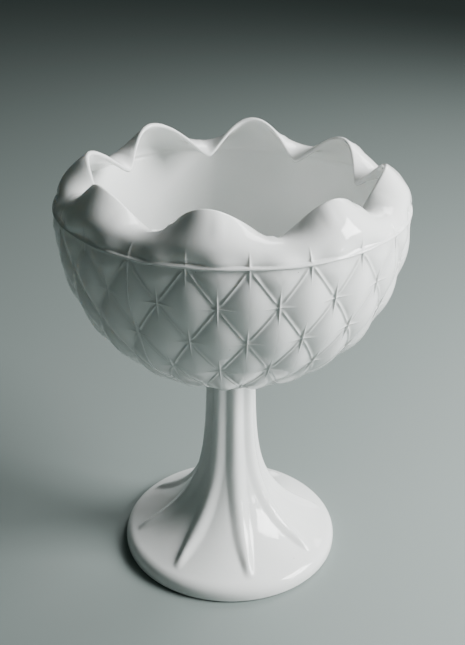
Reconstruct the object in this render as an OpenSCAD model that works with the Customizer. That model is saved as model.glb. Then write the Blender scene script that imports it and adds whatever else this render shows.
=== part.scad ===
// Footed compote of pressed white milk glass: a fluted pedestal, a joining
// wafer of glass, and a quilted bowl with a rim of eight scallops.
// Millimetres, +Z up, origin at the middle of the foot on the table.

/* [Foot] */
// Diameter of the foot at its widest line
foot_d = 112.6; // [90:0.1:140]
// Height of that widest line above the table
foot_edge_h = 3; // [2:0.5:4.5]
// Height at which the rounded edge meets the sloping top of the foot
foot_shoulder_h = 8.8; // [7:0.1:12]
// Distance from the foot's edge in to that line
foot_shoulder_w = 4.3; // [3:0.1:7]
// Slope of the foot's top just inside its edge, in degrees
foot_slope = 23; // [18:0.5:30]
// Width of the flat ring that rests on the table
rest_ring_w = 9; // [5:0.5:12]
// Rounding between the resting ring and the edge
foot_round = 1.5; // [0.5:0.1:1.9]
// Depth of the hollow pressed into the underside
hollow_h = 30; // [15:1:40]

/* [Pedestal] */
// Height of the pedestal, from the table to the top of the stem
pedestal_h = 100; // [80:1:130]
// Diameter of the stem over its ribs
stem_d = 24.8; // [20:0.2:30]
// Number of flutes, with a rounded rib between every two
flutes = 8; // [6:1:12]
// Depth of a flute on the stem
flute_depth = 1.5; // [0.5:0.1:2.5]
// Height of the ribs where the stem flares into the foot
rib_h = 1.9; // [1:0.1:3]
// Width of a rib between the middles of its flanks
rib_w = 5.6; // [3:0.1:8]
// Distance from the foot's edge in to the ends of the ribs
rib_inset = 6; // [5:0.5:14]
// Length over which the end of a rib sinks into the foot
rib_taper = 9; // [6:1:24]
// Angle by which the pedestal is turned against the bowl, in degrees
pedestal_turn = -2; // [-22:1:22]

/* [Joining wafer] */
// How far the wafer's rounded edge stands out past the boss and the stem
wafer_lip = 0.5; // [0.2:0.1:4]
// Thickness of the wafer
wafer_t = 3; // [2:0.5:6]

/* [Bowl] */
// Diameter of the bowl at the bead that runs round it
ridge_d = 165; // [130:1:200]
// Depth of the bowl's outside, from the bead to the underside
belly_h = 86.4; // [65:0.1:110]
// Fullness of the bowl's side: 2 is round, and more is squarer
belly_fullness = 2.2; // [1.9:0.05:2.8]
// Thickness of the glass in the bowl's side
wall_t = 3; // [2.4:0.1:5]
// Thickness of the glass in the floor of the bowl
floor_t = 6; // [4:0.5:10]
// Diameter of the boss under the bowl
boss_d = 28; // [24:0.5:36]
// Height of the boss
boss_h = 3; // [1.5:0.1:6]
// Direction of the first mould seam, in degrees
seam_a = -121; // [-180:1:180]

/* [Quilting] */
// Number of stars in each row round the bowl
stars = 20; // [12:4:28]
// Rows of half diamonds down the side
side_rows = 4; // [3:1:5]
// Rows of half diamonds on the underside
under_rows = 2; // [1:1:3]
// Height of the bead that runs round the bowl
bead_h = 0.4; // [0.3:0.1:1.2]
// Depth of the crease between two pillows
crease_depth = 0.6; // [0.3:0.1:1.2]
// Rise of a pillow from its creases to its middle
pillow_h = 1.5; // [0.5:0.1:1.8]

/* [Scalloped collar] */
// Number of scallops, an even share of the segments round the bowl
scallops = 8; // [4:4:12]
// Share that the valleys have against the scallops: 1 is even, and less is narrower
valley_share = 0.6; // [0.4:0.05:1]
// Roundness of the bottom of a valley
valley_round = 0.03; // [0.005:0.005:0.2]
// Height of a scallop's tip above the bead
tip_h = 20.1; // [14:0.1:30]
// Distance that a tip leans in over the bowl
tip_lean = 12.5; // [6:0.1:20]
// Height of the rim in the valleys between the scallops
valley_h = 3.7; // [3:0.1:10]
// Distance that the rim reaches in at a valley
valley_lean = 21.4; // [12:0.1:28]
// Rise of the collar's shoulder above the bead, where the rim dips behind it
shoulder_rise = 12.4; // [6:0.1:14]
// Distance that this shoulder leans in
shoulder_lean = 9.7; // [4:0.1:12]
// Thickness of the rounded rim
rim_t = 2.4; // [1.8:0.1:4]

/* [Hidden] */
glass_white = "#eef1ee";

// Heights of the pieces, stacked face to face
wafer_z = pedestal_h;
boss_z = wafer_z + wafer_t;
underside_z = boss_z + boss_h;
ridge_z = underside_z + belly_h;

// How finely the moulded surfaces are divided; rings crowd towards the foot
steps_per_row = 3;
around = stars * 2 * steps_per_row;
flute_steps = 16;
collar_steps = 5;
inner_steps = 7;
flare_steps = 24;
flare_crowding = 1.7;
edge_steps = 4;

// Radius and height of the bowl's side just under the bead
belly_r = ridge_d / 2 - bead_h;
boss_r = boss_d / 2;
wafer_r = max(boss_r, stem_d / 2 + wafer_t / 2) + wafer_lip;
// Distance above and below its crest at which the bead meets the glass
bead_foot = 0.9;
// Share of the bowl's depth that the level rows of half diamonds cover
side_share = 0.835;
row_h = side_share * belly_h / side_rows;
side_end_r = side_r(side_rows * row_h);

// The flare of the pedestal, which dies into a straight stem
foot_r = foot_d / 2;
shoulder_r = foot_r - foot_shoulder_w;
core_r = stem_d / 2 - flute_depth;
flare_len = tan(foot_slope) * (shoulder_r - core_r);
rib_end_r = foot_r - rib_inset;
// Distance out from the stem over which the ribs reach their full height
rib_growth = 10;
// Below 1, a rib's top is broader than the flute beside it
rib_shape = 0.8;
ring_in_r = foot_r - foot_round - rest_ring_w;
// Below 1, the hollow is domed; at 1 it is a cone
hollow_dome = 0.6;
// The faceted body stands this far inside the exact resting ring
facet_inset = 0.05;

function clamp01(x) = max(0, min(1, x));
function mix(a, b, t) = a + (b - a) * t;
function turned(p, a) = [p[0] * cos(a), p[0] * sin(a), p[1]];
function unit(v) = v / norm(v);
function frac(x) = x - floor(x);

// A cubic curve through four control points, and its direction
function cubic(p, t) =
    pow(1 - t, 3) * p[0] + 3 * pow(1 - t, 2) * t * p[1]
    + 3 * (1 - t) * t * t * p[2] + pow(t, 3) * p[3];
function cubic_way(p, t) = unit(
    pow(1 - t, 2) * (p[1] - p[0]) + 2 * (1 - t) * t * (p[2] - p[1])
    + t * t * (p[3] - p[2]));

// Side of the bowl, a quarter of a superellipse turned about the axis
function side_r(drop) =
    belly_r * pow(max(0, 1 - pow(drop / belly_h, belly_fullness)), 1 / belly_fullness);
function side_drop(r) =
    belly_h * pow(max(0, 1 - pow(r / belly_r, belly_fullness)), 1 / belly_fullness);
function side_out(p) = unit([
    pow(p[0] / belly_r, belly_fullness - 1) / belly_r,
    -pow((ridge_z - p[1]) / belly_h, belly_fullness - 1) / belly_h]);

// Point on the side at a row number: level rows first, then even rings below
function row_point(s) = s <= side_rows
    ? [side_r(s * row_h), ridge_z - s * row_h]
    : under_point(mix(side_end_r, boss_r, (s - side_rows) / under_rows));
function under_point(r) = [r, ridge_z - side_drop(r)];

// Pillow between the creases, which run through the stars both ways
function pillow(col, s) =
    sqrt(abs(sin(180 * frac(col + s / 2)) * sin(180 * frac(col - s / 2))));
function relief(col, s, r) =
    min(1, 2 * r / belly_r) * clamp01(side_rows + under_rows - s)
    * (pillow_h * pillow(col, s) * mix(0.5, 1, clamp01(2 * s)) - crease_depth);
function quilt_point(col, s) =
    let (p = row_point(s)) p + relief(col, s, p[0]) * side_out(p);

// Scallops: 1 at a tip and 0 in a valley
function scallop(a) =
    let (wave = (1 - cos(scallops * a)) / 2, low = pow(valley_round, valley_share),
         high = pow(1 + valley_round, valley_share))
    (pow(wave + valley_round, valley_share) - low) / (high - low);
collar_base = [ridge_d / 2 - 0.6 * bead_h, ridge_z + bead_foot];
rim_tip = [ridge_d / 2 - tip_lean, ridge_z + tip_h];
rim_valley = [ridge_d / 2 - valley_lean, ridge_z + valley_h];
tip_curve = [collar_base, [ridge_d / 2 + 0.3, ridge_z + 0.2 * tip_h],
    [ridge_d / 2 + 0.3, ridge_z + 0.45 * tip_h], rim_tip];
valley_curve = [collar_base, [ridge_d / 2 - 1.2, rim_valley[1]],
    [ridge_d / 2 - shoulder_lean, ridge_z + shoulder_rise], rim_valley];
function collar_curve(a) = mix(valley_curve, tip_curve, scallop(a));
function collar_t(t) = mix(wall_t, rim_t, t);
function collar_in(curve, t) =
    let (way = cubic_way(curve, t)) [-way[1], way[0]];
function collar_outside(a, t) = cubic(collar_curve(a), t);
function collar_inside(a, t) =
    let (c = collar_curve(a)) cubic(c, t) + collar_t(t) * collar_in(c, t);
// Rounded rim: turn 0 is the outside and 180 the inside
function rim_point(a, turn) =
    let (c = collar_curve(a), way = cubic_way(c, 1), side = collar_in(c, 1))
    cubic(c, 1) + rim_t / 2 * (side * (1 - cos(turn)) + way * sin(turn));

// Inside of the bowl, down to the middle of its floor
inside_r = belly_r - wall_t;
inside_h = belly_h - floor_t;
function inside_point(q) =
    let (a = mix(14, 84, q))
    [inside_r * pow(cos(a), 2 / belly_fullness),
     ridge_z - inside_h * pow(sin(a), 2 / belly_fullness)];

function step_a(i) = seam_a + i * 360 / around;
function bowl_ring(f) = [for (i = [0 : around - 1]) turned(f[i], step_a(i))];

bowl_rings = concat(
    [bowl_ring([for (i = [0 : around - 1]) [boss_r, boss_z]])],
    [for (k = [(side_rows + under_rows) * steps_per_row : -1 : 1])
        bowl_ring([for (i = [0 : around - 1])
            quilt_point(i / (2 * steps_per_row), k / steps_per_row)])],
    [bowl_ring([for (i = [0 : around - 1])
        quilt_point(i / (2 * steps_per_row), bead_foot / row_h)])],
    [bowl_ring([for (i = [0 : around - 1]) [ridge_d / 2, ridge_z]])],
    [for (k = [0 : collar_steps])
        bowl_ring([for (i = [0 : around - 1])
            collar_outside(i * 360 / around, k / collar_steps)])],
    [for (turn = [45, 90, 135])
        bowl_ring([for (i = [0 : around - 1]) rim_point(i * 360 / around, turn)])],
    [for (k = [collar_steps : -1 : 0])
        bowl_ring([for (i = [0 : around - 1])
            collar_inside(i * 360 / around, k / collar_steps)])],
    [for (k = [0 : inner_steps])
        bowl_ring([for (i = [0 : around - 1]) inside_point(k / inner_steps)])]);

// Closed skin over a stack of rings; creases follow the quads' diagonals
module skin(rings, turn_every) {
    n = len(rings[0]);
    last = len(rings) - 1;
    points = [for (ring = rings) each ring];
    sides = [for (j = [0 : last - 1]) for (i = [0 : n - 1])
        let (a = j * n + i, b = j * n + (i + 1) % n, c = b + n, d = a + n)
        each (i + j) % turn_every == 0
            ? [[a, d, c], [a, c, b]]
            : [[a, d, b], [d, c, b]]];
    ends = [[for (i = [0 : n - 1]) i], [for (i = [n - 1 : -1 : 0]) last * n + i]];
    polyhedron(points = points, faces = concat(sides, ends), convexity = 6);
}

module bowl() {
    color(glass_white)
    skin(bowl_rings, 2 * steps_per_row);
}

module joining_wafer() {
    edge_r = wafer_t / 2;
    color(glass_white)
    translate([0, 0, wafer_z])
    rotate_extrude($fn = 96)
    union() {
        square([wafer_r - edge_r, wafer_t]);
        translate([wafer_r - edge_r, edge_r])
        intersection() {
            circle(r = edge_r, $fn = 48);
            translate([0, -edge_r]) square([edge_r, wafer_t]);
        }
    }
}

// Radius of the smooth flare, before its ribs are added
function flare_r(z) =
    core_r + (shoulder_r - core_r) * exp(-(z - foot_shoulder_h) / flare_len);
function rib_rise(r) =
    mix(flute_depth, rib_h, clamp01((r - core_r) / rib_growth))
    * sin(90 * clamp01((rib_end_r - r) / rib_taper));
// Angle from the middle of the nearest rib, and the rib's height there, 1 at its top
function rib_off(a) = abs(frac(flutes * a / 360 + 0.5) - 0.5) * 360 / flutes;
function rib_share(a, r) =
    let (reach = min(rib_w, PI * r / flutes), off = r * rib_off(a) * PI / 180)
    pow((1 + cos(180 * min(1, off / reach))) / 2, rib_shape);
function flare_point(a, z) =
    let (r = flare_r(z), out = unit([1, (r - core_r) / flare_len]),
         p = [r, z] + out * rib_rise(r) * rib_share(a, r))
    [p[0], min(p[1], pedestal_h)];
foot_edge_curve = [[shoulder_r, foot_shoulder_h],
    [shoulder_r + 0.6 * foot_shoulder_w,
     foot_shoulder_h - 0.6 * foot_shoulder_w * tan(foot_slope)],
    [foot_r - facet_inset, mix(foot_edge_h, foot_shoulder_h, 0.5)],
    [foot_r - facet_inset, foot_edge_h]];

pedestal_around = [for (i = [0 : flutes * flute_steps - 1]) i * 360 / (flutes * flute_steps)];
function pedestal_ring(f) = [for (i = [0 : flutes * flute_steps - 1])
    turned(f[i], seam_a + pedestal_turn + pedestal_around[i])];
pedestal_rings = concat(
    [for (k = [edge_steps : -1 : 1])
        pedestal_ring([for (a = pedestal_around) cubic(foot_edge_curve, k / edge_steps)])],
    [for (k = [0 : flare_steps])
        pedestal_ring([for (a = pedestal_around)
            flare_point(a, mix(foot_shoulder_h, pedestal_h, pow(k / flare_steps, flare_crowding)))])]);

// Exact resting ring, with a rounded lower edge
module rest_ring() {
    rotate_extrude($fn = 180)
    union() {
        translate([foot_r - foot_round, foot_round])
        circle(r = foot_round, $fn = 48);
        translate([0, foot_round])
        square([foot_r, foot_edge_h - foot_round]);
        square([foot_r - foot_round, foot_edge_h]);
    }
}

// Hollow pressed up into the underside of the foot
module foot_hollow() {
    hollow_steps = 16;
    below = 2;
    rotate_extrude($fn = 180)
    polygon(concat(
        [[0, -below], [ring_in_r, -below]],
        [for (k = [0 : hollow_steps - 1])
            [ring_in_r * pow(1 - k / hollow_steps, hollow_dome), hollow_h * k / hollow_steps]],
        [[0, hollow_h]]));
}

module pedestal() {
    color(glass_white)
    difference() {
        union() {
            rest_ring();
            skin(pedestal_rings, flute_steps);
        }
        foot_hollow();
    }
}

bowl();
joining_wafer();
pedestal();
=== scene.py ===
# %% [markdown]
# # A footed compote in white milk glass
# This lesson builds a pressed-glass compote: a quilted bowl with a scalloped
# collar, a disc of glass that welds it to its pedestal, and a fluted pedestal
# that flares into a round foot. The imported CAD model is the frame. It fixes
# where every piece is and how large it is, so all sizes start from its boxes.

# %% Load the frame
import math

import bmesh
import bpy
from mathutils import Matrix, Vector


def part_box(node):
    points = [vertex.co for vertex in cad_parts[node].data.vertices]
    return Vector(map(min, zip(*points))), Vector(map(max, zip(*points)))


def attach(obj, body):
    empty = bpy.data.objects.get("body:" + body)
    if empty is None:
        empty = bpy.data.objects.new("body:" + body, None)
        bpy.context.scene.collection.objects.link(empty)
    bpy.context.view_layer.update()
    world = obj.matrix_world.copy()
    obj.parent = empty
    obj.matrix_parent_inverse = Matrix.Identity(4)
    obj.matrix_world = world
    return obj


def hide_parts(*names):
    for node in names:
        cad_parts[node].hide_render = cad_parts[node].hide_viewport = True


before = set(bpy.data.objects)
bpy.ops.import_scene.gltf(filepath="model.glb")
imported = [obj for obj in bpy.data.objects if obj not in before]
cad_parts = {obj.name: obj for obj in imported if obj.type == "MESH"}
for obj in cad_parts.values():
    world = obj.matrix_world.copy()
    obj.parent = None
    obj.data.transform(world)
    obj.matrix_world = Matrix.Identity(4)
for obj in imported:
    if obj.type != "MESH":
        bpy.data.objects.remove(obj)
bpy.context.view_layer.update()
MM = 0.001

# %% [markdown]
# ## The camera
# The camera comes first, because it decides which details matter. It stands a
# little above the bowl and looks down at it, so that the inside and the foot
# both show. A long lens would flatten the scallops, and a short one would
# swell the bowl, so a normal lens is used at arm's length.

# %% Camera
CAMERA_PLACE = (0.0005, -0.4352, 0.3469)
CAMERA_PITCH = math.radians(63.36)
CAMERA_ROLL = math.radians(0.48)
LENS = 55.2

camera_data = bpy.data.cameras.new("camera")
camera_data.lens = LENS
camera_data.sensor_width = 36.0
camera_data.clip_start = 0.01
camera = bpy.data.objects.new("camera", camera_data)
camera.matrix_world = (
    Matrix.Translation(CAMERA_PLACE)
    @ Matrix.Rotation(CAMERA_PITCH, 4, "X")
    @ Matrix.Rotation(CAMERA_ROLL, 4, "Z")
)
bpy.context.scene.collection.objects.link(camera)
bpy.context.scene.camera = camera
print("camera looks down by", round(90 - math.degrees(CAMERA_PITCH), 1), "degrees")

# %% [markdown]
# ## Sizes
# A bowl like this is drawn in millimetres, so the meshes are shaped in
# millimetres and scaled to metres at the very end. Radii and heights come from
# the boxes of the three CAD pieces. The rest are the small sizes of the relief.

# %% Sizes in millimetres
bowl_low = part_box("bowl")[0] / MM
wafer_low, wafer_high = (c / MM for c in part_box("joining_wafer"))
foot_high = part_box("pedestal")[1] / MM

RIDGE_R = 82.5
BEAD = 0.4
BOSS_H = 3.0
BELLY_DEPTH = 86.4
RIDGE_Z = bowl_low.z + BOSS_H + BELLY_DEPTH
FULLNESS = 2.2
WALL = 3.0
FLOOR = 6.0
BOSS_R = 14.0
SEAM = math.radians(-121)
PITCH = math.radians(18)
COLUMNS = 20
SCALLOPS = 8
SIDE_ROWS = 4
UNDER_ROWS = 2
SIDE_SHARE = 0.835
ROW_H = SIDE_SHARE * BELLY_DEPTH / SIDE_ROWS
BELLY_R = RIDGE_R - BEAD
print("ridge at", round(RIDGE_Z, 1), "mm, underside at", round(RIDGE_Z - BELLY_DEPTH, 1))

# %% [markdown]
# ## One wedge of the quilting
# The quilting is a net of diamonds. Each diamond is a soft pillow, its edges
# are creases with a raised thread, and a small cross-shaped star sits where
# four diamonds meet. A quarter of a diamond holds all of that once, so it is
# the only part that is modelled: a grid, bent into a wedge with its cuts close
# together where the thread and the star need them. Sculpting it or using a
# displacement on an even mesh would need many more faces.

# %% Wedge helper
CREASE_CUTS = 14
MIDDLE_CUTS = 9
MIDDLE_CROWDING = 1.8


def quilt_wedge():
    """Quarter diamond, flat: its middle at the origin, its stars at (0.5, 0) and (0, 1)."""
    bm = bmesh.new()
    bmesh.ops.create_grid(bm, x_segments=CREASE_CUTS, y_segments=MIDDLE_CUTS, size=0.5)
    for v in bm.verts:
        t = v.co.x + 0.5
        along = 2 * t * t if t < 0.5 else 1 - 2 * (1 - t) ** 2
        inward = (v.co.y + 0.5) ** MIDDLE_CROWDING
        v.co = Vector((0.5 * (1 - along), along, 0)) * (1 - inward)
    bmesh.ops.remove_doubles(bm, verts=bm.verts, dist=1e-6)
    return bm


wedge = quilt_wedge()
print("wedge:", len(wedge.verts), "points,", len(wedge.faces), "faces")

# %% [markdown]
# ## From the wedge to a strip
# A mirror turns the wedge into half a diamond. Copies of that half, upright
# and hanging, fill one column of the pattern from the bead down to the
# underside. The pattern is still flat here: across is counted in columns and
# down is counted in rows of stars, which keeps every sum simple.

# %% Strip
QUILT_ROWS = 5


def moved_copy(bm, geom, matrix):
    """Copy of some geometry, put in place by a matrix."""
    copy = bmesh.ops.duplicate(bm, geom=geom)["geom"]
    verts = [g for g in copy if isinstance(g, bmesh.types.BMVert)]
    bmesh.ops.transform(bm, matrix=matrix, verts=verts)


def quilt_strip(bm):
    """One column of the pattern, made from the wedge."""
    geom = bm.verts[:] + bm.edges[:] + bm.faces[:]
    bmesh.ops.mirror(bm, geom=geom, axis="X", merge_dist=1e-6)
    half = bm.verts[:] + bm.edges[:] + bm.faces[:]
    for row in range(QUILT_ROWS):
        shift = 0.5 * (row % 2)
        hang = Matrix.Translation((0.5 - shift, -row, 0)) @ Matrix.Scale(-1, 4, (0, 1, 0))
        stand = Matrix.Translation((shift, -row - 1, 0))
        moved_copy(bm, half, hang)
        moved_copy(bm, half, stand)
    bmesh.ops.delete(bm, geom=[g for g in half if isinstance(g, bmesh.types.BMVert)], context="VERTS")
    bmesh.ops.remove_doubles(bm, verts=bm.verts, dist=1e-5)
    bmesh.ops.recalc_face_normals(bm, faces=bm.faces)
    return bm


strip = quilt_strip(wedge)
print("strip:", len(strip.verts), "points,", len(strip.faces), "faces")

# %% [markdown]
# ## The shape of the bowl
# Seen from the side, the bowl is a quarter of a superellipse: a circle that is
# a little squarer, which gives the upright side and the round belly. Rows of
# stars sit at even heights down the side and at even rings underneath.

# %% Profile helpers


def clamp01(x):
    """x kept between 0 and 1."""
    return max(0.0, min(1.0, x))


def smooth(x):
    """0 to 1 with soft ends."""
    x = clamp01(x)
    return x * x * (3 - 2 * x)


def mix(a, b, t):
    """a at t = 0 and b at t = 1."""
    return a + (b - a) * t


def side_r(drop):
    """Radius of the bowl's side, some way below the bead."""
    return BELLY_R * max(0.0, 1 - (drop / BELLY_DEPTH) ** FULLNESS) ** (1 / FULLNESS)


def side_drop(r):
    """Distance below the bead at which the side has radius r."""
    return BELLY_DEPTH * max(0.0, 1 - (r / BELLY_R) ** FULLNESS) ** (1 / FULLNESS)


SIDE_END_R = side_r(SIDE_ROWS * ROW_H)


def row_point(row):
    """Point (radius, height) on the side at a row number, counted down from the bead."""
    if row <= SIDE_ROWS:
        return Vector((side_r(row * ROW_H), RIDGE_Z - row * ROW_H))
    r = mix(SIDE_END_R, BOSS_R, (row - SIDE_ROWS) / UNDER_ROWS)
    return Vector((r, RIDGE_Z - side_drop(r)))


def side_out(point):
    """Outward direction of the side at that point."""
    across = (point.x / BELLY_R) ** (FULLNESS - 1) / BELLY_R
    down = max(0.0, (RIDGE_Z - point.y) / BELLY_DEPTH) ** (FULLNESS - 1) / BELLY_DEPTH
    return Vector((across, -down)).normalized()


def on_bowl(angle, point):
    """Point in space for an angle about the axis and a (radius, height)."""
    return Vector((point.x * math.cos(angle), point.x * math.sin(angle), point.y))


# %% [markdown]
# ## Relief: pillows, threads and stars
# Everything that stands out from the bowl is one sum of four parts. The pillow
# swells between the creases, the crease is cut into it, a thin thread runs
# along the bottom of the crease, and the star's four points taper away from
# where the creases cross. A bump map could fake this, but its outline would
# stay smooth against the light, so the relief is real.

# %% Relief
COLUMN_W = PITCH * RIDGE_R
CREASE_GAP = COLUMN_W * 2 * ROW_H / math.hypot(COLUMN_W, 2 * ROW_H)
PILLOW = 2.0
CREASE = 0.9
ROUNDNESS = 0.75
THREAD_W, THREAD_H = 0.43, 0.75
THREAD_GAP, THREAD_FADE = 1.6, 2.2
STAR_REACH, STAR_W, STAR_H = 6.8, 0.62, 0.95
STAR_LEVEL_SHARE = 0.55
STAR_BLUNTNESS, STAR_TIP_SHARE = 0.8, 0.25
PILLOW_AT_BEAD, PILLOW_GROWTH = 0.3, 2.5
# Relief level below which the creases get painted shade in their colour.
PAINTED_SHADE_LEVEL = 0.35


def ridge_of(x, width):
    """Round-topped ridge: 1 in the middle and 0 at its edges."""
    return max(0.0, 1 - (x / width) ** 2)


def star_point(along, aside):
    """One pair of the star's points, tapering to nothing."""
    left = 1 - abs(along) / STAR_REACH
    if left <= 0:
        return 0.0
    width = STAR_W * (STAR_TIP_SHARE + (1 - STAR_TIP_SHARE) * left)
    return STAR_H * left**STAR_BLUNTNESS * max(0.0, 1 - abs(aside) / width)


def pattern(column, row):
    """Pillow (0 to 1), thread and star heights at a place in columns and rows."""
    a, b = column + row / 2, column - row / 2
    da, db = a - round(a), b - round(b)
    pillow = abs(math.sin(math.pi * da) * math.sin(math.pi * db)) ** ROUNDNESS
    crease = min(abs(da), abs(db)) * CREASE_GAP
    across = (da + db) / 2 * COLUMN_W
    down = (da - db) * ROW_H
    star_far = math.hypot(across, down)
    thread = THREAD_H * ridge_of(crease, THREAD_W) * smooth((star_far - THREAD_GAP) / THREAD_FADE)
    star = max(STAR_LEVEL_SHARE * star_point(across, down), star_point(down, across))
    return pillow, thread, star


def relief(column, row):
    """Heights above the side: the pillows, lower next to the bead, and the fine lines."""
    pillow, thread, star = pattern(column, row)
    grown = mix(PILLOW_AT_BEAD, 1, smooth(PILLOW_GROWTH * row))
    return PILLOW * pillow * grown - CREASE, thread + star


def relief_size(point):
    """Share of the relief's full height, which shrinks with the pattern near the axis."""
    return min(1.0, 2 * point.x / BELLY_R)


# %% Bend the strip onto the bowl
painted_shade = strip.verts.layers.float.new("painted_shade")
fine_lines = strip.verts.layers.float.new("lines")
for v in strip.verts:
    column, row = v.co.x, -v.co.y
    point = row_point(row)
    size = relief_size(point)
    body, fine = relief(column, row)
    # Painted shade: this layer grows the deeper the surface sinks below that level, and the material
    # darkens the colour there.
    v[painted_shade] = clamp01(PAINTED_SHADE_LEVEL - body - fine)
    v[fine_lines] = fine * size
    point += side_out(point) * (body + fine) * size
    v.co = on_bowl(SEAM + column * PITCH, point)
print("strip bent onto the bowl, relief from", -CREASE, "to", round(PILLOW - CREASE, 2), "mm")

# %% [markdown]
# ## Twenty strips around
# The spin operator copies the strip round the axis. It could also sweep a
# profile, but here it only places copies, and a merge sews their edges. The
# bead, the collar, the rim and the inside then grow out of the top edge of
# this skin, one ring of faces at a time, so that the bowl is one closed shell.

# %% Spin the strip
bmesh.ops.spin(
    strip,
    geom=strip.verts[:] + strip.edges[:] + strip.faces[:],
    cent=(0, 0, 0),
    axis=(0, 0, 1),
    angle=PITCH * (COLUMNS - 1),
    steps=COLUMNS - 1,
    use_duplicate=True,
)
bmesh.ops.remove_doubles(strip, verts=strip.verts, dist=2e-3)
skin = strip
print("quilted skin:", len(skin.faces), "faces")

# %% [markdown]
# ## A worn quarter
# Each quarter of the mould wore at its own pace. In the one before the high
# seam more than half the height of the fine lines was worn off, so the threads
# and stars there are pushed back towards the pillows.

# %% Wear down one quarter
WORN_SHARE = 0.6
WORN_COLUMNS = COLUMNS // 4
WORN_FADE = 4

for v in skin.verts:
    column = (math.atan2(v.co.y, v.co.x) - SEAM) / PITCH % COLUMNS
    into, left = column - COLUMNS + WORN_COLUMNS, COLUMNS - column
    worn = WORN_SHARE * smooth(into * WORN_FADE) * smooth(left * WORN_FADE)
    r = math.hypot(v.co.x, v.co.y)
    back = side_out(Vector((r, v.co.z))) * -v[fine_lines] * worn
    v.co = on_bowl(math.atan2(v.co.y, v.co.x), Vector((r, v.co.z)) + back)
print("columns", COLUMNS - WORN_COLUMNS, "to", COLUMNS, "worn by", WORN_SHARE)

# %% Ring helper


def edge_loop(bm, is_wanted):
    """Open edges of the skin for which a test on their middle holds."""
    return [e for e in bm.edges if e.is_boundary and is_wanted((e.verts[0].co + e.verts[1].co) / 2)]


def grow(bm, edges, place):
    """Extrude a loop of edges once and put each new point where place(angle) says."""
    new = bmesh.ops.extrude_edge_only(bm, edges=edges)["geom"]
    for v in new:
        if isinstance(v, bmesh.types.BMVert):
            angle = math.atan2(v.co.y, v.co.x)
            v.co = on_bowl(angle, place(angle))
            v[painted_shade] = 0
    return [e for e in new if isinstance(e, bmesh.types.BMEdge) and e.is_boundary]


def close_pole(bm, edges, point):
    """Close a ring of edges with a fan round one point on the axis."""
    new = bmesh.ops.extrude_edge_only(bm, edges=edges)["geom"]
    verts = [g for g in new if isinstance(g, bmesh.types.BMVert)]
    bmesh.ops.pointmerge(bm, verts=verts, merge_co=point)


# %% [markdown]
# ## The scalloped collar
# Above the bead the glass bulges out a little and then folds in over the bowl.
# Its edge rises and falls in eight scallops. Two curves describe it: one
# through the middle of a scallop and one through a valley, and every other
# place is a blend of the two. A lattice or a sculpt could bend a plain ring
# into this, but two curves and a blend are exact and easy to change.

# %% Collar curves
TIP_RISE, TIP_LEAN = 19.98, 12.5
VALLEY_RISE, VALLEY_LEAN = 3.7, 21.4
SHOULDER_RISE, SHOULDER_LEAN = 12.4, 9.7
VALLEY_SHARE, VALLEY_ROUND = 0.6, 0.03
RIM = 2.4
SWAY = math.radians(3)
SWAY_WAY = math.radians(-32)
SUNK_TIPS = (0, 0, 0, 1.8, 0, 0, 1.2, 0)
SUNK_WAY = Vector((-1.2, -1))


def cubic(p, t):
    """Point on a cubic curve through four control points."""
    s = 1 - t
    return p[0] * s**3 + p[1] * 3 * s * s * t + p[2] * 3 * s * t * t + p[3] * t**3


def cubic_way(p, t):
    """Direction of that curve."""
    s = 1 - t
    return ((p[1] - p[0]) * s * s + (p[2] - p[1]) * 2 * s * t + (p[3] - p[2]) * t * t).normalized()


def collar_place(lean, rise):
    """Place given by how far in from the bead and how far above it."""
    return Vector((RIDGE_R - lean, RIDGE_Z + rise))


COLLAR_BASE = collar_place(0.6 * BEAD, 0.9)
TIP_CURVE = [
    COLLAR_BASE,
    collar_place(-0.3, 0.2 * TIP_RISE),
    collar_place(-0.3, 0.45 * TIP_RISE),
    collar_place(TIP_LEAN, TIP_RISE),
]
VALLEY_CURVE = [
    COLLAR_BASE,
    collar_place(1.2, VALLEY_RISE),
    collar_place(SHOULDER_LEAN, SHOULDER_RISE),
    collar_place(VALLEY_LEAN, VALLEY_RISE),
]


def scallop(angle):
    """1 at the tip of a scallop and 0 in a valley; the valleys sway a little to one side."""
    turn = angle - SEAM
    sway = SWAY * math.cos(angle - SWAY_WAY) * (1 + math.cos(SCALLOPS * turn)) / 2
    wave = (1 - math.cos(SCALLOPS * (turn - sway))) / 2
    least, most = VALLEY_ROUND**VALLEY_SHARE, (1 + VALLEY_ROUND) ** VALLEY_SHARE
    return ((wave + VALLEY_ROUND) ** VALLEY_SHARE - least) / (most - least)


def collar_curve(angle):
    """The collar's curve at an angle: a blend of the tip's and the valley's."""
    tip = scallop(angle)
    number = math.floor((angle - SEAM) / (2 * math.pi / SCALLOPS)) % SCALLOPS
    sunk = SUNK_TIPS[number] * tip
    curve = [mix(v, t, tip) for v, t in zip(VALLEY_CURVE, TIP_CURVE)]
    return [p + SUNK_WAY * sunk * (k / 3) ** 2 for k, p in enumerate(curve)]


def collar_out(curve, t):
    """Outward direction of the collar."""
    way = cubic_way(curve, t)
    return Vector((way.y, -way.x))


# %% [markdown]
# ## Bead, collar, rim and inside
# The bead is a thin cord of glass where the two parts of the mould met. Above
# it the last half pillows fade into the collar, and the upright points of the
# stars cross the bead. The rim is a half circle of the glass's own thickness,
# fire-polished until no edge is left.

# %% Grow the bowl upwards
COLLAR_STEPS = 16
RIM_STEPS = 6
INSIDE_STEPS = 16
BEAD_ROUND, BEAD_INSET = 0.6, 0.02
BEAD_TURNS = (-75, -45, -15, 15, 45, 75)
BEAD_WAVES = ((0.16, 7, 0), (0.10, 17, 1), (0.05, 41, 0))
LOBE, LOBE_FADE = 1.7, 9.0
NOTCH, NOTCH_FADE = 0.25, 2
BEAD_GAP, TICK_SHARE = 1.0, 0.8
COLLAR_START, COLLAR_CROWDING = 0.03, 1.4
INSIDE_START, INSIDE_END = 7, 87


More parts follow.
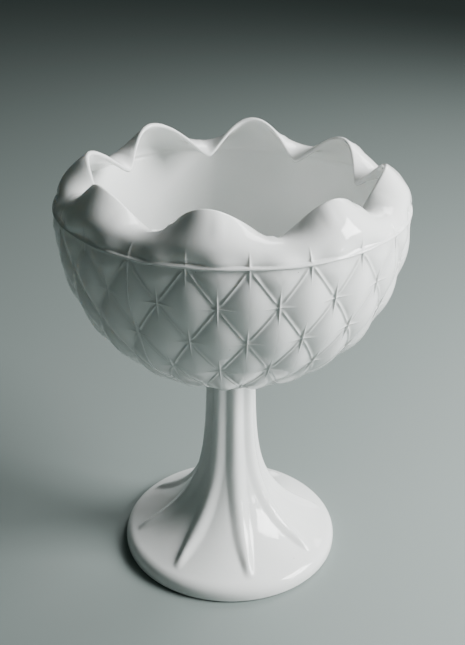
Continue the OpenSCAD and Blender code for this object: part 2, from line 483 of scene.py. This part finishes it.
def bead_wave(angle):
    """Small rise and fall of the bead, where the mould's two halves did not quite meet."""
    return sum(size * math.sin(turns * angle + start) for size, turns, start in BEAD_WAVES)


def bead_ring(turn):
    """A ring of the bead, at an angle round its own small circle."""

    def place(angle):
        r = RIDGE_R - BEAD_ROUND + BEAD_ROUND * math.cos(turn)
        return Vector((r - BEAD_INSET, RIDGE_Z + bead_wave(angle) + BEAD_ROUND * math.sin(turn)))

    return place


def collar_ring(t):
    """A ring of the collar's outside, with the last of the quilting on it."""

    def place(angle):
        curve = collar_curve(angle)
        point = cubic(curve, t)
        rise = (point - COLLAR_BASE).length
        column = (angle - SEAM) / PITCH
        pillow, thread, star = pattern(column, -(rise + BEAD_GAP) / ROW_H)
        depth = LOBE * (pillow * pillow - 1) * smooth(1 - rise / LOBE_FADE)
        depth -= NOTCH * smooth(1 - rise / NOTCH_FADE)
        return point + collar_out(curve, t) * (depth + TICK_SHARE * star)

    return place


def rim_ring(turn):
    """A ring of the rounded rim: turn 0 is outside and pi is inside."""

    def place(angle):
        curve = collar_curve(angle)
        way = cubic_way(curve, 1)
        inward = -collar_out(curve, 1)
        return cubic(curve, 1) + (inward * (1 - math.cos(turn)) + way * math.sin(turn)) * RIM / 2

    return place


def collar_inside_ring(t):
    """A ring of the collar's inside, one wall's thickness in."""

    def place(angle):
        curve = collar_curve(angle)
        return cubic(curve, t) - collar_out(curve, t) * mix(WALL, RIM, t)

    return place


CORNER = 0.55
CORNER_RINGS = ((0.4, 0.7), (0.9, 1), (1.6, 0.6), (3.0, 0))
CORNER_DRAFT = 0.03


def corner_ring(down, share):
    """A ring of the soft corner inside, where the collar was folded in from the upright wall."""
    r = collar_inside_ring(0)(SEAM).x
    return lambda angle: Vector((r + CORNER * share - CORNER_DRAFT * down, COLLAR_BASE.y - down))


def inside_ring(q):
    """A ring of the bowl's inside, from under the collar at 0 to the floor at 1."""
    a = math.radians(mix(INSIDE_START, INSIDE_END, q))
    power = 2 / FULLNESS
    r = (BELLY_R - WALL) * math.cos(a) ** power
    z = RIDGE_Z - (BELLY_DEPTH - FLOOR) * math.sin(a) ** power
    return lambda angle: Vector((r, z))


top = edge_loop(skin, lambda m: m.z > RIDGE_Z - 2)
bead_corner = top
print("top loop:", len(top), "edges")
for turn in BEAD_TURNS:
    top = grow(skin, top, bead_ring(math.radians(turn)))
for k in range(COLLAR_STEPS + 1):
    top = grow(skin, top, collar_ring(mix(COLLAR_START, 1, (k / COLLAR_STEPS) ** COLLAR_CROWDING)))
for k in range(1, RIM_STEPS):
    top = grow(skin, top, rim_ring(math.pi * k / RIM_STEPS))
for k in range(COLLAR_STEPS, -1, -1):
    top = grow(skin, top, collar_inside_ring(k / COLLAR_STEPS))
for down, share in CORNER_RINGS:
    top = grow(skin, top, corner_ring(down, share))
for k in range(INSIDE_STEPS + 1):
    top = grow(skin, top, inside_ring(k / INSIDE_STEPS))
close_pole(skin, top, (0, 0, RIDGE_Z - BELLY_DEPTH + FLOOR))
print("bowl with its inside:", len(skin.faces), "faces")

# %% [markdown]
# ## The underside and the boss
# Below the last row the pattern dies out into a plain ring and a short boss.
# The boss ends on a flat face, which the joining wafer was pressed against
# while both were soft.

# %% Grow the bowl downwards
FILLET, FILLET_TURNS = 2.0, (30, 60, 90)
UNDER_STEPS, UNDER_END = 5, SIDE_ROWS + UNDER_ROWS - 0.12
low = edge_loop(skin, lambda m: m.z < RIDGE_Z - BELLY_DEPTH / 2)
print("lower loop:", len(low), "edges")


def under_ring(row):
    """A plain ring of the underside, where the relief sinks to the crease's level."""
    point = row_point(row)
    return lambda angle: point


for k in range(1, UNDER_STEPS + 1):
    low = grow(skin, low, under_ring(mix(QUILT_ROWS, UNDER_END, k / UNDER_STEPS)))
for turn in FILLET_TURNS:
    a = math.radians(turn)
    down = FILLET * (1 - math.cos(a))
    edge = Vector((BOSS_R + FILLET * (1 - math.sin(a)), row_point(SIDE_ROWS + UNDER_ROWS).y - down))
    low = grow(skin, low, lambda angle, edge=edge: edge)
low = grow(skin, low, lambda angle: Vector((BOSS_R, bowl_low.z)))
close_pole(skin, low, (0, 0, bowl_low.z))
bmesh.ops.recalc_face_normals(skin, faces=skin.faces)
for e in bead_corner:
    e.smooth = False
open_edges = sum(e.is_boundary for e in skin.edges)
print("bowl:", len(skin.faces), "faces,", open_edges, "open edges")
print("volume of its glass:", round(skin.calc_volume() / 1000, 1), "cm3")

# %% [markdown]
# ## Putting a piece into the scene
# A finished mesh is scaled to metres, shaded smooth and given its material. It
# rides on the object's one body and stands for its CAD node.

# %% Piece helper


def finish_piece(name, bm, material, node=None):
    """A Blender object from a finished bmesh, in place of its CAD node if it has one."""
    bmesh.ops.scale(bm, vec=(MM, MM, MM), verts=bm.verts)
    for f in bm.faces:
        f.smooth = True
    mesh = bpy.data.meshes.new(name)
    bm.to_mesh(mesh)
    bm.free()
    mesh.materials.append(material)
    piece = bpy.data.objects.new(name, mesh)
    bpy.context.scene.collection.objects.link(piece)
    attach(piece, "root")
    if node:
        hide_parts(node)
    print(name, "has", len(mesh.polygons), "faces")
    return piece


# %% [markdown]
# ## Mould seams
# The side of the mould was in four parts, and a hair of glass crept between
# them. Each seam is a fine ridge down the bowl, over pillows and stars alike.
# One joint of the mould closed worse than the others, so its seam is higher.
# A narrow grid is bent along the bowl's profile for each, and given a thickness.

# %% Mould seams
SEAM_W, SEAM_SINK = 0.5, 0.12
SEAM_HEIGHTS = (0.5, 0.16, 0.26, 0.2)
SEAM_START, SEAM_END = 0.08, 5.3
SEAM_STEPS, SEAM_THICKNESS = 120, 0.15


def seam_point(angle, across, row, crest):
    """Point of a seam: across is -1 or 1 on its sides and 0 on its crest."""
    point = row_point(row)
    height = sum(relief(across * SEAM_W / COLUMN_W, row)) * relief_size(point)
    height += crest if across == 0 else -SEAM_SINK
    return on_bowl(angle + across * SEAM_W / point.x, point + side_out(point) * height)


def add_seam(bm, angle, crest):
    """One seam, from just under the bead to the underside."""
    verts = bmesh.ops.create_grid(bm, x_segments=2, y_segments=SEAM_STEPS, size=1)["verts"]
    for v in verts:
        row = mix(SEAM_START, SEAM_END, (v.co.y + 1) / 2)
        v.co = seam_point(angle, round(v.co.x), row, crest)
    faces = list({f for v in verts for f in v.link_faces})
    bmesh.ops.recalc_face_normals(bm, faces=faces)
    bmesh.ops.solidify(bm, geom=faces, thickness=SEAM_THICKNESS)


seams = bmesh.new()
for number, crest in enumerate(SEAM_HEIGHTS):
    add_seam(seams, SEAM + number * 2 * math.pi / len(SEAM_HEIGHTS), crest)
bmesh.ops.recalc_face_normals(seams, faces=seams.faces)
print("seams:", len(seams.faces), "faces,", sum(e.is_boundary for e in seams.edges), "open edges")

# %% [markdown]
# ## The pedestal
# Stem and foot are one pressing. The smooth flare is a profile spun about the
# axis. The eight rounded ribs are then raised on it. They keep their width, so
# on the stem they touch, with narrow flutes between them, and on the foot they
# spread apart and end in blunt tongues. Cutting the flutes with booleans would
# give the same stem, but it could not let the ribs die away so softly.

# %% Flare helpers
FOOT_R = foot_high.x
STEM_TOP = foot_high.z
FLUTES = 8
FLUTE_DEPTH, RIB_H = 1.5, 1.9
RIB_END_R, RIB_TAPER, RIB_W = FOOT_R - 6.0, 9.0, 5.6
RIB_SHAPE, RIB_CROWDING = 0.8, 0.6
RIB_POINT_L, RIB_POINT_SHARE = 20.0, 0.55
RIB_GROWTH = 10
STEM_R, SHOULDER_W, SHOULDER_Z = 12.4, 4.3, 8.8
CORE_R = STEM_R - FLUTE_DEPTH
SHOULDER_R = FOOT_R - SHOULDER_W
FOOT_SLOPE = math.tan(math.radians(23))
FLARE = FOOT_SLOPE * (SHOULDER_R - CORE_R)
EDGE_Z, FOOT_ROUND, REST_W, HOLLOW = 3.0, 1.5, 9.0, 30.0
RING_IN_R = FOOT_R - FOOT_ROUND - REST_W
FIRST_RIB = SEAM + math.radians(-2)


def flare_r(z):
    """Radius of the smooth flare at a height."""
    return CORE_R + (SHOULDER_R - CORE_R) * math.exp(-(z - SHOULDER_Z) / FLARE)


def rib_rise(r):
    """How far the top of a rib stands above the flare."""
    sink = math.sin(math.pi / 2 * clamp01((RIB_END_R - r) / RIB_TAPER))
    return mix(FLUTE_DEPTH, RIB_H, clamp01((r - CORE_R) / RIB_GROWTH)) * sink


def rib_share(angle, r):
    """1 on top of a rib, falling to 0 in the flute between two ribs."""
    turn = FLUTES * (angle - FIRST_RIB) / (2 * math.pi)
    off = r * abs(turn - round(turn)) * 2 * math.pi / FLUTES
    point = mix(RIB_POINT_SHARE, 1, smooth((RIB_END_R - r) / RIB_POINT_L))
    reach = min(RIB_W * point, math.pi * r / FLUTES)
    return ((1 + math.cos(math.pi * min(1, off / reach))) / 2) ** RIB_SHAPE


# %% Pedestal profile
FLARE_STEPS = 64
HOLLOW_STEPS = 20
AROUND = FLUTES * 36
FLARE_CROWDING, EDGE_REACH, EDGE_STEPS = 1.7, 2.6, 8
HOLLOW_DOME = 0.6


def pedestal_profile():
    """Outline (radius, height) from the stem's top, over the foot, into the hollow."""
    points = [Vector((0, STEM_TOP)), Vector((0.5 * CORE_R, STEM_TOP))]
    for k in range(FLARE_STEPS + 1):
        z = mix(STEM_TOP, SHOULDER_Z, 1 - (1 - k / FLARE_STEPS) ** FLARE_CROWDING)
        points.append(Vector((flare_r(z), z)))
    edge = [
        Vector((SHOULDER_R, SHOULDER_Z)),
        Vector((SHOULDER_R + EDGE_REACH, SHOULDER_Z - EDGE_REACH * FOOT_SLOPE)),
        Vector((FOOT_R, mix(EDGE_Z, SHOULDER_Z, 0.5))),
        Vector((FOOT_R, EDGE_Z)),
    ]
    points += [cubic(edge, k / EDGE_STEPS) for k in range(1, EDGE_STEPS + 1)]
    for turn in range(0, 91, 15):
        a = math.radians(turn)
        round_in = FOOT_ROUND * (1 - math.cos(a))
        points.append(Vector((FOOT_R - round_in, FOOT_ROUND * (1 - math.sin(a)))))
    for k in range(HOLLOW_STEPS + 1):
        up = k / HOLLOW_STEPS
        points.append(Vector((RING_IN_R * (1 - up) ** HOLLOW_DOME, HOLLOW * up)))
    return points


profile = pedestal_profile()
print("pedestal profile:", len(profile), "points")

# %% Turning helper


def turned(outline, start, steps):
    """An outline (radius, height) spun about the axis, from a starting angle."""
    bm = bmesh.new()
    chain = [bm.verts.new(on_bowl(start, p)) for p in outline]
    edges = [bm.edges.new(pair) for pair in zip(chain, chain[1:])]
    bmesh.ops.spin(
        bm,
        geom=chain + edges,
        cent=(0, 0, 0),
        axis=(0, 0, 1),
        angle=2 * math.pi,
        steps=steps,
        use_merge=True,
    )
    bmesh.ops.remove_doubles(bm, verts=bm.verts, dist=1e-4)
    return bm


# %% Spin the pedestal and press the flutes
# Painted shade: the flutes between the ribs get a darker colour, more so higher up the stem.
STEM_PAINTED_SHADE, PAINTED_SHADE_START, PAINTED_SHADE_FADE = 0.5, 25, 40

ped = turned(profile, FIRST_RIB, AROUND)
ped_painted_shade = ped.verts.layers.float.new("painted_shade")
for v in ped.verts:
    r, z = math.hypot(v.co.x, v.co.y), v.co.z
    on_flare = abs(r - flare_r(z)) < 1e-2 and z > SHOULDER_Z - 1e-3
    turn = FLUTES * (math.atan2(v.co.y, v.co.x) - FIRST_RIB)
    angle = FIRST_RIB + (turn - RIB_CROWDING * math.sin(turn)) / FLUTES
    point = Vector((r, z))
    if on_flare:
        out = Vector((1, (r - CORE_R) / FLARE)).normalized()
        point += out * rib_rise(r) * rib_share(angle, r)
        # Painted shade in the flute, growing towards the top of the stem.
        painted_shade_rise = clamp01((z - PAINTED_SHADE_START) / PAINTED_SHADE_FADE)
        v[ped_painted_shade] = STEM_PAINTED_SHADE * (1 - rib_share(angle, r)) * painted_shade_rise
    v.co = on_bowl(angle, Vector((point.x, min(point.y, STEM_TOP))))
bmesh.ops.recalc_face_normals(ped, faces=ped.faces)
print("pedestal:", len(ped.faces), "faces,", sum(e.is_boundary for e in ped.edges), "open edges")

# %% [markdown]
# ## The joining wafer
# A gather of hot glass, pressed flat between the boss and the stem, welds
# them. Its edge bulges out where it was squeezed.

# %% Wafer
WAFER_R = wafer_high.x
WAFER_STEPS = 96
wafer_mid = (wafer_low.z + wafer_high.z) / 2
half_t = (wafer_high.z - wafer_low.z) / 2
outline = [Vector((0, wafer_high.z))]
for turn in range(90, -91, -15):
    a = math.radians(turn)
    outline.append(Vector((WAFER_R - half_t + half_t * math.cos(a), wafer_mid + half_t * math.sin(a))))
outline.append(Vector((0, wafer_low.z)))
waf = turned(outline, 0, WAFER_STEPS)
bmesh.ops.recalc_face_normals(waf, faces=waf.faces)
print("wafer:", len(waf.faces), "faces")

# %% [markdown]
# ## Milk glass
# Milk glass is clear glass clouded by tiny crystals. Light enters it, is
# scattered a millimetre or two and comes out again, so thin rims glow a little
# and shadows are soft, while the surface itself stays a sharp mirror. The
# Principled shader does this with a little subsurface scattering under a low
# roughness. On top of that come the marks of making and use: a faint waviness
# from the mould, patches that are less polished, a few specks of grit from the
# furnace, and a scuffed resting ring. A greyer tone down in the creases and in
# the stem's flutes is painted shade.

# %% Material helpers


class NodeBench:
    """Short way to add nodes to a material and wire them."""

    def __init__(self, material):
        material.use_nodes = True
        self.nodes, self.links = material.node_tree.nodes, material.node_tree.links
        self.shader = self.nodes["Principled BSDF"]
        self.place = self.add("TexCoord").outputs["Object"]

    def add(self, kind, **values):
        """A node with some of its inputs set."""
        node = self.nodes.new("ShaderNode" + kind)
        for name, value in values.items():
            node.inputs[name.replace("_", " ")].default_value = value
        return node

    def noise(self, scale, detail):
        """Noise of about 1 / scale metres a lump, on object coordinates."""
        node = self.add("TexNoise", Scale=scale, Detail=detail)
        self.links.new(self.place, node.inputs["Vector"])
        return node.outputs["Fac"]

    def ranged(self, source, from_min, from_max, to_min, to_max):
        """A value carried over from one range to another."""
        node = self.add("MapRange", From_Min=from_min, From_Max=from_max, To_Min=to_min, To_Max=to_max)
        self.links.new(source, node.inputs["Value"])
        return node.outputs["Result"]

    def blend(self, factor, first, second):
        """Colour mix; first and second are colours or sockets."""
        node = self.nodes.new("ShaderNodeMix")
        node.data_type = "RGBA"
        self.links.new(factor, node.inputs["Factor"])
        for socket, value in ((node.inputs[6], first), (node.inputs[7], second)):
            if isinstance(value, tuple):
                socket.default_value = (*value, 1)
            else:
                self.links.new(value, socket)
        return node.outputs[2]

    def combine(self, operation, first, second):
        """Math node; second is a number or a socket."""
        node = self.nodes.new("ShaderNodeMath")
        node.operation = operation
        self.links.new(first, node.inputs[0])
        if isinstance(second, float):
            node.inputs[1].default_value = second
        else:
            self.links.new(second, node.inputs[1])
        return node.outputs["Value"]


def shade_of(tint, amount):
    """A darker, slightly greener version of a colour."""
    return (tint[0] * amount * 0.985, tint[1] * amount, tint[2] * amount * 0.99)


# %% Material
# How dark the painted shade in the creases and flutes is, and how strongly it is laid on.
CLOUD_SHADE, PAINTED_CREASE_SHADE, PAINTED_SHADE_STRENGTH = 0.965, 0.7, 0.5
GRIT_COLOUR, GRIT_SCALE, GRIT_SIZE, GRIT_PICK = (0.05, 0.055, 0.05), 150, 0.035, 0.86
POLISH_LEAST, POLISH_MOST, SCUFF = 0.06, 0.14, 0.35
SCUFF_LOW, SCUFF_HIGH = 0.0003, 0.0016
WAVE_DEPTH, RIPPLE_SHARE = 0.0004, 0.04
CLOUD_NOISE, POLISH_NOISE, SCUFF_NOISE = (45, 3), (120, 5), (900, 4)
WAVE_NOISE, RIPPLE_NOISE = (90, 2), (700, 2)


def milk_glass(name, tint, wave, worn=False):
    """White glass with a slightly uneven, fire-polished surface."""
    material = bpy.data.materials.new(name)
    bench = NodeBench(material)
    shader, links = bench.shader, bench.links
    shader.inputs["IOR"].default_value = 1.5
    shader.inputs["Subsurface Weight"].default_value = 0.2
    shader.inputs["Subsurface Radius"].default_value = (1.0, 0.95, 0.9)
    shader.inputs["Subsurface Scale"].default_value = 0.002

    cloud = bench.ranged(bench.noise(*CLOUD_NOISE), 0.3, 0.7, 0, 1)
    colour = bench.blend(cloud, shade_of(tint, CLOUD_SHADE), tint)
    # Painted shade: the colour is darkened where the mesh's shade layer says the surface lies down in
    # a crease or a flute.
    crease = bench.add("Attribute")
    crease.attribute_name = "painted_shade"
    depth = bench.combine("MULTIPLY", crease.outputs["Fac"], PAINTED_SHADE_STRENGTH)
    colour = bench.blend(depth, colour, shade_of(tint, PAINTED_CREASE_SHADE))

    grit = bench.add("TexVoronoi", Scale=GRIT_SCALE, Randomness=1)
    links.new(bench.place, grit.inputs["Vector"])
    near = bench.combine("LESS_THAN", grit.outputs["Distance"], GRIT_SIZE)
    pick = bench.add("SeparateColor")
    links.new(grit.outputs["Color"], pick.inputs["Color"])
    few = bench.combine("GREATER_THAN", pick.outputs["Red"], GRIT_PICK)
    speck = bench.combine("MULTIPLY", near, few)
    colour = bench.blend(speck, colour, GRIT_COLOUR)
    links.new(colour, shader.inputs["Base Color"])

    polish = bench.ranged(bench.noise(*POLISH_NOISE), 0.35, 0.75, POLISH_LEAST, POLISH_MOST)
    if worn:
        height = bench.add("SeparateXYZ")
        links.new(bench.place, height.inputs["Vector"])
        scuff = bench.ranged(height.outputs["Z"], SCUFF_LOW, SCUFF_HIGH, SCUFF, 0.0)
        scuff = bench.combine("MULTIPLY", scuff, bench.noise(*SCUFF_NOISE))
        polish = bench.combine("ADD", polish, scuff)
    links.new(polish, shader.inputs["Roughness"])

    bump = bench.add("Bump", Strength=wave, Distance=WAVE_DEPTH)
    ripple = bench.combine("MULTIPLY", bench.noise(*RIPPLE_NOISE), RIPPLE_SHARE)
    links.new(bench.combine("ADD", bench.noise(*WAVE_NOISE), ripple), bump.inputs["Height"])
    links.new(bump.outputs["Normal"], shader.inputs["Normal"])
    return material


WHITE = (0.86, 0.875, 0.865)
bowl_glass = milk_glass("bowl_milk_glass", WHITE, 0.25)
pedestal_glass = milk_glass("pedestal_milk_glass", WHITE, 0.2, worn=True)
wafer_glass = milk_glass("wafer_milk_glass", WHITE, 0.35)
finish_piece("bowl_shell", skin, bowl_glass, "bowl")
finish_piece("mould_seams", seams, bowl_glass)
finish_piece("pedestal_pressing", ped, pedestal_glass, "pedestal")
finish_piece("weld_wafer", waf, wafer_glass, "joining_wafer")

# %% [markdown]
# ## Floor and light
# The compote stands on a plain grey floor. One soft light, high on the right,
# draws the form. A second behind it lights the far rim, and a weak one at the
# bowl's own height catches the threads and the mould seam.

# %% Floor
FLOOR_COLOUR, FLOOR_HALF = (0.205, 0.245, 0.235, 1), 4.0
floor_mesh = bpy.data.meshes.new("floor")
floor_bm = bmesh.new()
bmesh.ops.create_grid(floor_bm, x_segments=1, y_segments=1, size=FLOOR_HALF)
floor_bm.to_mesh(floor_mesh)
floor_bm.free()
floor = bpy.data.objects.new("floor", floor_mesh)
bpy.context.scene.collection.objects.link(floor)
floor_paint = bpy.data.materials.new("floor_paint")
floor_paint.use_nodes = True
paint = floor_paint.node_tree.nodes["Principled BSDF"]
paint.inputs["Base Color"].default_value = FLOOR_COLOUR
paint.inputs["Roughness"].default_value = 0.55
floor_mesh.materials.append(floor_paint)


# %% Lights
def soft_light(name, place, aim, size, power, colour=(1, 1, 1)):
    """A square area light that points at a place."""
    data = bpy.data.lights.new(name, "AREA")
    data.size = size
    data.energy = power
    data.color = colour
    light = bpy.data.objects.new(name, data)
    light.location = place
    light.rotation_euler = (Vector(aim) - Vector(place)).to_track_quat("-Z", "Y").to_euler()
    bpy.context.scene.collection.objects.link(light)


soft_light("key", (0.66, -0.12, 0.50), (0, 0, 0.14), 0.36, 17)
soft_light("window", (0.50, 0.70, 0.90), (0, 0, 0.13), 0.5, 8)
soft_light("glint", (0.52, -0.25, 0.16), (0.02, -0.02, 0.15), 0.08, 0.5)

# %% [markdown]
# The rest of the room is almost dark. It is a little lighter on the side of
# the lamps, so that the gloss on the far side of the glass has something deep
# to mirror and its edge stands out.

# %% Room
DARK_SIDE, LAMP_SIDE = (0.008, 0.016, 0.013, 1), (0.10, 0.12, 0.115, 1)
world = bpy.data.worlds.new("room")
bpy.context.scene.world = world
world.use_nodes = True
room = world.node_tree
place = room.nodes.new("ShaderNodeTexCoord")
sides = room.nodes.new("ShaderNodeSeparateXYZ")
shade = room.nodes.new("ShaderNodeValToRGB")
spread = room.nodes.new("ShaderNodeMapRange")
spread.inputs["From Min"].default_value = -1
shade.color_ramp.elements[0].color = DARK_SIDE
shade.color_ramp.elements[1].color = LAMP_SIDE
room.links.new(place.outputs["Generated"], sides.inputs["Vector"])
room.links.new(sides.outputs["X"], spread.inputs["Value"])
room.links.new(spread.outputs["Result"], shade.inputs["Fac"])
room.links.new(shade.outputs["Color"], room.nodes["Background"].inputs["Color"])
room.nodes["Background"].inputs["Strength"].default_value = 1.0
